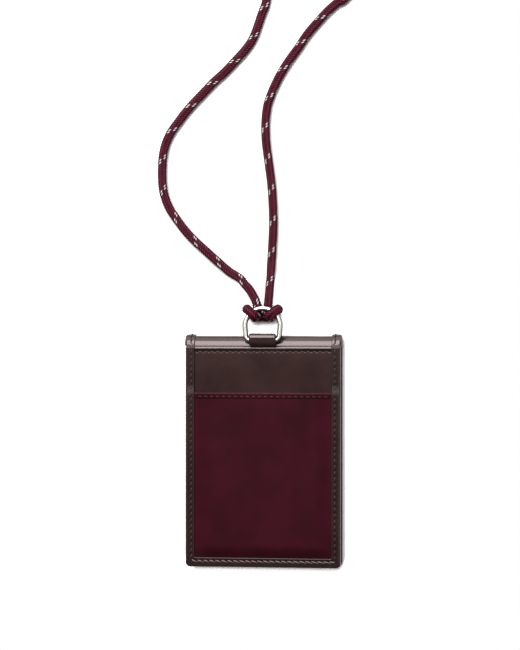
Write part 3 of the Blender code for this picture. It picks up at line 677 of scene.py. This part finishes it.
def stitches(name, line, up, inward, slant, material, body, thick=0.62, tight=1.0, rubbed_and_lit=0.0):
    """A row of sewing: each stitch is a two-ply thread that leaves one hole, lies on the leather and dives
    into the next. Its section is a circle with two swellings that turn along it. Where the row is less
    tight, more of each hole shows, and where it is marked rubbed and lit, the thread is painted paler."""
    length = lengths_along(line)[-1]
    t = np.linspace(0, 1, 9)
    first = stitch_margin(length) + np.arange(int(length // STITCH_PITCH)) * STITCH_PITCH
    shares = np.column_stack([np.broadcast_to(share, len(line)) for share in (tight, rubbed_and_lit)])
    tight, rubbed_and_lit = np.hsplit(at_lengths(line, first + STITCH_PITCH / 2, shares), 2)
    along = first[:, None] + (0.5 + (0.35 + 0.1 * tight) * (2 * t - 1)) * STITCH_PITCH
    given = (np.broadcast_to(values, line.shape) for values in (line, up, inward))
    middle, up, inward = (at_lengths(line, along, values) for values in given)
    lift = (0.42 * thick + 0.2) * np.sin(math.pi * t) ** 0.5 - 0.5
    middle = middle + inward * (slant * (1 - 2 * t))[:, None] + up * lift[:, None]
    run = np.gradient(middle, axis=1)
    side = unit(np.cross(up, run))
    top = unit(np.cross(run, side))
    theta = math.tau * np.arange(10) / 10
    ply = 1 + 0.13 * np.cos(2 * (theta[None] - math.tau * 1.25 * t[:, None]))
    radius = thick / 2 * (0.65 + 0.35 * np.sin(math.pi * t))[:, None] * ply
    c, s = np.cos(theta)[:, None], np.sin(theta)[:, None]
    rings = middle[:, :, None] + (top[:, :, None] * c + side[:, :, None] * s) * radius[None, ..., None]
    fit(name, rings, material, body, values={"wear_and_highlight": rubbed_and_lit[..., None]})


def sewing_thread(name, slot, dark, light, wear_and_highlight="#8e7a76", gloss=0.3):
    """Bonded polyester thread: a soft gloss and fine fibres of two tones, paler where marked rubbed and lit,
    for wear and painted highlight.
    """
    material, add, shader = new_material(name, slot, roughness=0.5, specular_ior_level=gloss)
    place = add("TexCoord").outputs["Object"]
    fibre = add("TexNoise", (place, 1 / (0.5 * MM), 2.0))
    plied = add("Mix", (fibre, dark, light), data_type="RGBA")
    rubbed_and_lit = add("Attribute", attribute_name="wear_and_highlight").outputs["Fac"]
    paled = add("Mix", (rubbed_and_lit, plied, wear_and_highlight), data_type="RGBA")
    plug(shader, {"Base Color": paled})
    return material


# Brown thread, a shade paler than the leather.
brown_thread = sewing_thread("brown_polyester_thread", "brown_leather", "#392b28", "#604d47")
# Waxed thread, darker than the leather and dull, so that it shows against the shine of the roll.
waxed_thread = sewing_thread("waxed_brown_thread", "brown_leather", "#190e0d", "#31201d", gloss=0.08)
END_WIDTH = 5.0
END_EDGE = 38.7
END_LOW, END_HIGH = 1.5, 4.85
END_START = 44.43
END_SEWN = SEWN_IN + 0.5


def end_binding(name, side, node):
    """The folded strip carried round the spine, its heights as radii, drawn in at its edge like a barrel's
    end, with a row of stitches."""
    turns = np.radians(np.linspace(90, -90, 55))
    loop = channel_loop(END_WIDTH, END_LOW, END_HIGH)
    inward, radius = np.tile(loop, (len(turns), 1, 1)).transpose(2, 0, 1)
    x = np.full(len(turns), side * (END_EDGE - END_SEWN))
    row = np.column_stack([x, half_roll(END_START, END_HIGH, turns)])
    along = lengths_along(row)
    outer = (np.arange(len(loop)) < len(loop) // 2) & (loop[:, 1] > END_HIGH - STRIP_THICK / 2)
    pulled, pit_and_shade = drawn_in(along[:, None], inward - END_SEWN, along[-1])
    radius -= pulled * outer + 0.6 * np.clip(1 - inward / 1.5, 0, 1) ** 2 * (radius > 2.5)
    rings = np.dstack([side * (END_EDGE - inward), half_roll(END_START, radius, turns[:, None])])
    # Paler with wear along the outer edge; painted shade in the stitch holes.
    values = {"wear_and_highlight": 0.35 * bell(inward - 0.4, 0.5), "pit_and_shade": pit_and_shade * outer}
    fit(name, rings, brown_leather, "spine", node, values=values)
    up = np.column_stack([0 * x, np.cos(turns), np.sin(turns)])
    stitches(name + "_stitches", row, up, (-side, 0, 0), 0.25 * side, waxed_thread, "spine", 0.7)


end_binding("spine_end_left", -1, "spine_binding_left")
end_binding("spine_end_right", 1, "spine_binding_right")

# Front panel
# Brown leather lined with cloth. Two pockets lie on it, held at their sides and foot by the binding: one of
# the same leather with a rolled lip, and over it one of burgundy leather with a turned hem.
FRONT_HALF = 37.15
FRONT_FOOT = -63.02
PANEL_TOP = 43.53
PANEL_CORNER = 1.35
UPPER_LIP = 44.13
LOWER_LIP = 21.43
POCKET_THICK = 0.7
POCKET_FOOT = -59.8
ROW_HALF = 33.6


def sheet_rings(
    half, foot, top, level, thick, corner=PANEL_CORNER, top_corner=0.01, steps=(2.0, 2.0), fine_from=None,
    shape=None, row=None,
):
    """A level sheet as loops across X, up its face and down its back. Its corners are quarter circles, its
    edges half rounds. A shape lifts it, and a row of stitches draws its face in. Gives the row's pits too,
    which are painted as shade."""
    x = stations(-half, half, steps[0])[:, None]
    y = stations(foot, top, steps[1], fine_from)[None]
    over = [np.clip((np.abs(x) - half) / radius + 1, 0, 1) for radius in (corner, top_corner)]
    low = foot + corner * (1 - np.sqrt(1 - over[0] ** 2))
    high = top - top_corner * (1 - np.sqrt(1 - over[1] ** 2))
    y = low + (y - foot) * (high - low) / (top - foot)
    lift = 0 if shape is None else shape(x, y)
    edge = np.minimum(half - np.abs(x), np.minimum(y - low, high - y))
    loops = thicken(np.stack([y, level + lift + 0 * y], axis=-1), rounded(edge, thick))
    pit_and_shade = np.zeros(loops.shape[:2])
    if row is not None:
        face = loops[:, :y.shape[1]]
        pulled, pit_and_shade[:, :y.shape[1]] = drawn_in(x + ROW_HALF, face[..., 0] - row, 2 * ROW_HALF, 0.02, 0.05)
        face[..., 1] -= pulled
    return across_x(x[:, 0], loops), pit_and_shade


def held_sides(x):
    """How free a pocket is: 0 under the binding at its sides, 1 from 9 mm inside it."""
    return ease((33.9 - np.abs(x)) / 9)


def upper_shape(x, y):
    """The upper pocket: a low crown under its lip, and the rolled lip, which stands up and falls off on both
    sides, lower in the middle, where the ring tab presses on the open front."""
    below = UPPER_LIP - y
    crown = 0.25 * held_sides(x) * ease((y - 20) / 18) + 0.6 * ease((2.4 - below) / 1.3)
    under_tab = ease((TAB_HALF + 4 - np.abs(x)) / 3.5)
    return crown * (1 - 0.4 * under_tab) - 0.35 * ease((1.1 - below) / 1.1)


def lower_shape(x, y):
    """The lower pocket: a flat crown, a lip that gapes a little, a double hem, and slight waves."""
    below, above = LOWER_LIP - y, y - POCKET_FOOT
    crown = 0.9 * ease(above / 6.5) + 0.2 * ease(1 - below / 25)
    waves = 0.06 * (np.sin(x / 7.1 + 0.6) * np.sin(y / 9.3) + np.sin((x + 0.6 * y) / 5.3 + 2.0))
    return held_sides(x) * (crown + waves * ease(above / 7.5)) + 0.26 * ease((2.8 - below) / 0.35)


def pocket(name, lip, level, shape, row, row_shade, material, node, thread):
    """A pocket's leather: paler along its lip, a painted highlight, and darker with painted shade towards its
    foot and in lines beside its row of stitches; and those stitches."""
    rings, pit_and_shade = sheet_rings(
        FRONT_HALF, FRONT_FOOT, lip, level, POCKET_THICK, steps=(0.4, 1.0), fine_from=lip - 5, shape=shape,
        row=row,
    )
    y = rings[..., 1]
    # Painted shade towards the foot, and in lines beside the row of stitches.
    pit_and_shade = np.maximum(pit_and_shade, 0.45 * ease((-52.0 - y) / 7.0))
    for dark, beside in zip(row_shade, (0.85, -0.9)):
        pit_and_shade = np.maximum(pit_and_shade, dark * bell(y - row - beside, 0.42))
    # The lip is painted paler: a painted highlight.
    fit(name, rings, material, "front", node, values={"wear_and_highlight": 0.8 * bell(lip - y, 0.7), "pit_and_shade": pit_and_shade})
    x = np.linspace(-ROW_HALF, ROW_HALF, 200)
    line = np.column_stack([x, np.full(200, row), level + POCKET_THICK / 2 + shape(x, row)])
    stitches(name + "_stitches", line, (0, 0, 1), (0, 1, 0), 0.1, thread, "front", 0.42)


rings, _ = sheet_rings(FRONT_HALF, FRONT_FOOT, PANEL_TOP, level=8.35, thick=1.0)
front_leather = fit("front_leather", rings, brown_leather, "front", "front_cover")
rings, _ = sheet_rings(FRONT_HALF, FRONT_FOOT, PANEL_TOP, level=7.4, thick=0.4)
front_cloth = fit("front_cloth", rings, lining_cloth, "front", "front_lining")
pocket(
    "upper_pocket_leather", UPPER_LIP, 9.45, upper_shape, 41.5, (0.75, 0.0), brown_leather, "upper_pocket",
    brown_thread,
)
# Burgundy leather: soft and nearly matt, a deep wine red.
burgundy_leather = leather(
    "burgundy_matt_leather", "burgundy_leather", "#2f0612", "#390916", "#6d3a42", 0.5,
    specular_ior_level=0.06,
)
burgundy_thread = sewing_thread(
    "burgundy_polyester_thread", "burgundy_leather", "#3c131b", "#58242d", "#7a4650",
)
pocket(
    "lower_pocket_leather", LOWER_LIP, 10.4, lower_shape, 19.6, (0.5, 0.4), burgundy_leather, "lower_pocket",
    burgundy_thread,
)

# Edge bindings
# A strip of the brown leather is folded over the sides and foot of each panel and all that lies on it, and
# sewn through with brown thread.
BINDING_WIDTH = 4.3
FOOT_WIDTH = 4.7
FURROW = 0.2
BINDING_CORNER = 2.2
# The same leather, split thin for the strip: a shade darker, and duller from being handled at the edges.
strip_leather = leather(
    "brown_strip_leather", "brown_leather", "#271817", "#311f1d", "#5c4843", 0.2, specular_ior_level=0.34,
)
# Thread as dark as the strip; along the foot it is painted paler, a painted highlight.
strip_thread = sewing_thread("dark_brown_polyester_thread", "brown_leather", "#2c1f1d", "#493934")


def outline(half, foot, top, corner, upper=0):
    """A panel's edge: down its left side, round its lower corners, up its right side, and back along its top
    if that has corners. The count of points is always the same, so that two such lines can be joined."""
    line = [
        np.linspace((-half, top - upper), (-half, foot + corner), 301)[:-1],
        arc((corner - half, foot + corner), corner, 180, 270, 12),
        np.linspace((corner - half, foot), (half - corner, foot), 206)[1:-1],
        arc((half - corner, foot + corner), corner, 270, 360, 12),
        np.linspace((half, foot + corner), (half, top - upper), 301)[1:],
    ]
    if upper:
        line += [
            arc((half - upper, top - upper), upper, 0, 90, 12)[1:],
            np.linspace((half - upper, top), (upper - half, top), 206)[1:-1],
            arc((upper - half, top - upper), upper, 90, 180, 12)[:-1],
        ]
    return np.vstack(line)


def edge_binding(name, body, node, half, foot, low, high, drop):
    """The folded strip carried round a panel from its outer edge line to its inner one, with stitches on each
    face. It falls off to the edge, most at the foot, and drops where the panel is thinner, above the lower
    pocket."""
    outer = outline(half, foot, PANEL_TOP, BINDING_CORNER)
    at_foot = 1 - np.clip((outer[:, 1:] - foot) / BINDING_CORNER, 0, 1)
    inward = (outline(half - BINDING_WIDTH, foot + FOOT_WIDTH, PANEL_TOP, 0.8) - outer) / BINDING_WIDTH
    across, height = channel_loop(BINDING_WIDTH, low, high).T
    row = outer + inward * SEWN_IN
    along = lengths_along(row)
    sunk = drop * ease((outer[:, 1] - LOWER_LIP + 2.5) / 6.5)
    share = ease((height - low - STRIP_THICK) / (high - low - 2 * STRIP_THICK))
    edge_fall = 0.12 + 0.5 * at_foot
    fall = edge_fall * (1 - across / BINDING_WIDTH)
    z = height - (sunk[:, None] + fall) * share + fall * (1 - share)
    outside = np.arange(len(across)) < len(across) // 2
    pulled, pit_and_shade = drawn_in(along[:, None], across - SEWN_IN, along[-1], FURROW)
    shallow = 0.1 + 0.9 * at_foot
    on_face, on_back = outside & (height > high - STRIP_THICK / 2), outside & (height < low + STRIP_THICK / 2)
    z -= pulled * shallow * on_face
    z += pulled * on_back
    # Wear near the outer edge; along the inner lip, most of all at the foot, a painted highlight.
    wear_and_highlight = 0.08 * bell(across - 0.35, 0.5) + (0.04 + 0.26 * at_foot) * bell(across - BINDING_WIDTH, 0.3)
    # Painted shade in the groove between the foot's lip and its stitches.
    groove_shade = 0.35 * at_foot * bell(across - SEWN_IN - 0.75, 0.35)
    values = {"wear_and_highlight": wear_and_highlight, "pit_and_shade": np.maximum(pit_and_shade, groove_shade) * (on_face | on_back)}
    rings = np.dstack([outer[:, None] + inward[:, None] * across[:, None], z])
    fit(name, rings, strip_leather, body, node, values=values)
    sewn_fall = edge_fall[:, 0] * (1 - SEWN_IN / BINDING_WIDTH)
    face_level = high - sewn_fall - sunk - 0.4 * FURROW * shallow[:, 0]
    back_level = low + sewn_fall + 0.75 * FURROW
    lean = np.column_stack([inward, np.zeros(len(inward))])
    # The foot's stitches are painted paler: a painted highlight.
    for face, level, up, thick in (("face", face_level, 1, 0.62), ("back", back_level, -1, 0.5)):
        stitches(
            f"{name}_{face}_stitches", np.column_stack([row, level]), (0, 0, up), lean, 0.28 * up,
            strip_thread, body, thick, tight=at_foot[:, 0], rubbed_and_lit=0.8 * at_foot[:, 0],
        )


edge_binding("front_edge", "front", "front_binding", half=38.0, foot=-63.87, low=6.35, high=11.6, drop=0.3)
edge_binding("back_edge", "back", "back_binding", half=38.5, foot=-63.37, low=0.0, high=4.75, drop=0.0)

# Back panel
# The same brown leather with a window cut in it. A pane of clear vinyl is sewn behind the window, and a cloth
# lining closes the pocket for the card.
BACK_HALF = 37.65
BACK_FOOT = -62.52
WINDOW_HALF, WINDOW_FOOT, WINDOW_TOP, WINDOW_CORNER = 25.5, -48.87, 29.13, 4.0
WINDOW_ROW = 2.5
WINDOW_SPAN = 12.0


def beside_window(out):
    """A closed line at one distance outside the window's edge."""
    corner = WINDOW_CORNER + out
    return outline(WINDOW_HALF + out, WINDOW_FOOT - out, WINDOW_TOP + out, corner, corner)


window, row = beside_window(0), beside_window(WINDOW_ROW)
row_line = np.vstack([row, row[:1]])


def window_rings():
    """A level sheet between the panel's edge and the window's: loops in on one face and out on the other,
    drawn in by the stitches round the window. Gives its values too."""
    outer = outline(BACK_HALF, BACK_FOOT, PANEL_TOP, PANEL_CORNER, 0.3)
    share = stations(0, WINDOW_SPAN, 1.2, WINDOW_SPAN - 4.5)
    thick = rounded(np.minimum(share, WINDOW_SPAN - share), 1.0)
    section = thicken(np.column_stack([share, np.full(len(share), 1.35)]), thick)
    xy = outer[:, None] + (window - outer)[:, None] * (section[:, :1] / WINDOW_SPAN)
    along = lengths_along(row_line)
    from_window = np.linalg.norm(xy - window[:, None], axis=2)
    outside = np.arange(len(section)) >= len(share)
    pulled, pit_and_shade = drawn_in(along[:-1, None], from_window - WINDOW_ROW, along[-1])
    # Rubbed round the window; painted shade in the stitch holes.
    values = {"wear_and_highlight": 0.4 * bell(from_window, 0.5), "pit_and_shade": pit_and_shade * outside}
    return np.dstack([xy, section[:, 1] + pulled * outside]), values


rings, values = window_rings()
fit("back_leather", rings, brown_leather, "back", "back_cover", values=values, closed=True)
inward = (window - row) / WINDOW_ROW
row_line = np.column_stack([row_line, np.full(len(row_line), 0.85)])
lean = np.column_stack([np.vstack([inward, inward[:1]]), np.zeros(len(row_line))])
stitches("window_stitches", row_line, (0, 0, -1), lean, -0.2, brown_thread, "back", 0.5)
# Clear soft vinyl: glossy, very slightly blue, with a faint ripple from being rolled.
vinyl, add, shader = new_material(
    "clear_soft_vinyl", "clear_window", base_color="#f1f6f7", roughness=0.06, transmission_weight=1.0,
    ior=1.53,
)
place = add("TexCoord").outputs["Object"]
ripple = add("TexNoise", (place, 1 / (20 * MM), 1.0))
rippled = add("Bump", {"Height": ripple, "Distance": 0.5 * MM, "Strength": 0.3})
plug(shader, {"Normal": rippled})
rings, _ = sheet_rings(30.0, -53.37, 33.63, level=2.3, thick=0.4, corner=4.0, top_corner=4.0)
vinyl_pane = fit("vinyl_pane", rings, vinyl, "back", "id_window")
rings, _ = sheet_rings(BACK_HALF, BACK_FOOT, PANEL_TOP, level=3.7, thick=0.4)
back_cloth = fit("back_cloth", rings, lining_cloth, "back", "back_lining")

# Creases
# At the two folds the leather, the lining and the folded strips at the sides run on from the spine to the
# panels, thinner and pinched in where they bend.


def crease(name, rings, material, body):
    """A soft bridge that bends between the spine and one panel."""
    piece = fit(name, rings, material, None)
    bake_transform(piece)


def crease_sheet(level, spine_level, thick):
    """A narrow sheet across the case that eases from the panel's level to the spine's."""
    y = np.linspace(43.25, 44.3, 15)
    z = level + (spine_level - level) * ease((y - 43.5) / 0.65)
    return across_x(np.linspace(-36.9, 36.9, 40), thicken(np.column_stack([y, z]), thick))


def crease_strip(side, half, low, high, skin=0.07):
    """The folded strip from the panel's section to the spine's, drawn in by a half sine between them."""
    t = np.linspace(0, 1, 15)[:, None, None]
    panel = channel_loop(BINDING_WIDTH - skin, low + skin, high - skin)
    spine = channel_loop(END_WIDTH - skin, low + skin, low + END_HIGH - END_LOW - skin)
    section = panel + (spine - panel) * t
    middle = section[..., 1:].mean(axis=1, keepdims=True)
    pinch = np.sin(math.pi * t)
    z = middle + (section[..., 1:] - middle) * (1 - 0.1 * pinch)
    edge = half + (END_EDGE - half) * t - skin - 0.45 * pinch
    y = np.broadcast_to(43.2 + 1.5 * t, z.shape)
    return np.concatenate([side * (edge - section[..., :1]), y, z], axis=2)


for body, half, low, high, leather_at, cloth_at, cloth_end in (
    ("front", 38.0, 6.35, 11.3, 8.35, 7.4, 7.4),
    ("back", 38.5, 0.0, 4.75, 1.35, 3.7, 2.3),
):
    for side, word in ((-1, "left"), (1, "right")):
        crease(f"{body}_crease_{word}", crease_strip(side, half, low, high), brown_leather, body)
    crease(f"{body}_crease_leather", crease_sheet(leather_at, leather_at, 0.8), brown_leather, body)
    crease(f"{body}_crease_cloth", crease_sheet(cloth_at, cloth_end, 0.3), lining_cloth, body)

# View, floor and light
# The camera looks nearly straight down, from 0.9 m. The floor is white paper. One broad soft lamp stands
# beyond the case's top, a little to the left, so that the rolled spine shines and flat leather stays dark.
camera = put("camera", bpy.data.cameras.new("camera"))
camera.data.lens = 102.2
camera.location = (0.0928, 0.0545, 0.9061)
camera.rotation_euler = (0, math.radians(6), 0)
bpy.context.scene.camera = camera

FLOOR_HALF = 2.0
floor_mesh = bpy.data.meshes.new("paper_floor")
corners = [(x * FLOOR_HALF, y * FLOOR_HALF, 0) for x, y in ((-1, -1), (1, -1), (1, 1), (-1, 1))]
floor_mesh.from_pydata(corners, [], [(0, 1, 2, 3)])
floor = put("paper_floor", floor_mesh)
# White paper: matt, and brightened for the camera except in the shadow close to what lies on it.
paper, add, _ = new_material("white_paper", None, roughness=0.9)
ray = add("LightPath").outputs
shiny = add("MAXIMUM", (ray["Is Glossy Ray"], ray["Is Transmission Ray"]))
pale = add("Mix", (shiny, (0.45, 0.45, 0.45, 1), (1, 1, 1, 1)), data_type="RGBA")
open_sky = add("AmbientOcclusion", {"Distance": 4 * MM}, samples=16).outputs["AO"]
white = add("MapRange", (open_sky, 0.66, 0.93, 1.0, 3.6))
shown = add("Mix", (ray["Is Camera Ray"], pale, white), data_type="RGBA")
diffuse = add("BsdfDiffuse", {"Color": shown})
# Away from what lies on it, the floor lets the camera and the lamp through, so that a panel folded down past
# the table's level still shows.
clear = add("MapRange", (open_sky, 0.84, 0.95))
clear = add("MULTIPLY", (clear, ray["Is Camera Ray"]))
clear = add("MAXIMUM", (clear, ray["Is Shadow Ray"]))
surface = add("MixShader", (clear, diffuse, add("BsdfTransparent")))
plug(paper.node_tree.nodes["Material Output"], {"Surface": surface})
floor_mesh.materials.append(paper)
floor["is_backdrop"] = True

lamp = put("soft_lamp", bpy.data.lights.new("soft_lamp", "AREA"))
lamp.data.shape = "RECTANGLE"
lamp.data.size, lamp.data.size_y = 0.75, 0.84
lamp.data.energy = 17
lamp.location = (-0.15, 0.575, 0.996)
lamp.rotation_euler = (math.radians(-30), 0, 0)

# The studio: white to the camera. Gloss and glass see it too: a white dome and a white wall beyond the case's
# top, a dark patch overhead, where the camera and its stand are, and dim walls at the other sides.
world = bpy.data.worlds.new("studio")
bpy.context.scene.world = world
world.use_nodes = True
add = adder(world.node_tree)
ray = add("LightPath").outputs
sky = add("TexCoord").outputs["Generated"]
way = add("SeparateXYZ", [sky]).outputs
stand = add("VectorMath", (sky, (-0.104, -0.07, 0.992)), operation="DOT_PRODUCT")
patch_edge, patch = math.cos(math.radians(18)), math.cos(math.radians(11))
overhead = add("MapRange", (stand, patch_edge, patch, 1.0, 0.03))
dome = add("MapRange", (way["Z"], 0.15, 0.6, 0.08, 1.0))
wall = add("MapRange", (way["Y"], 0.4, 0.85, 0, 2.5))
near_side = add("MapRange", (way["Y"], -0.4, -0.08, 0.2, 1))
dome = add("MULTIPLY", (dome, near_side))
lit = add("MAXIMUM", (dome, wall))
mirrored = add("MULTIPLY", (overhead, lit))
shiny = add("MAXIMUM", (ray["Is Glossy Ray"], ray["Is Transmission Ray"]))
soft = add("Mix", (shiny, 0.25, mirrored))
seen = add("Mix", (ray["Is Camera Ray"], soft, 1.0))
plug(world.node_tree.nodes["Background"], {"Strength": seen, "Color": "#ffffff"})
bpy.context.scene.view_settings.view_transform = "Standard"

low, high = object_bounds()
{"cad": [list(cad_low), list(cad_high)], "visual": [list(low), list(high)]}
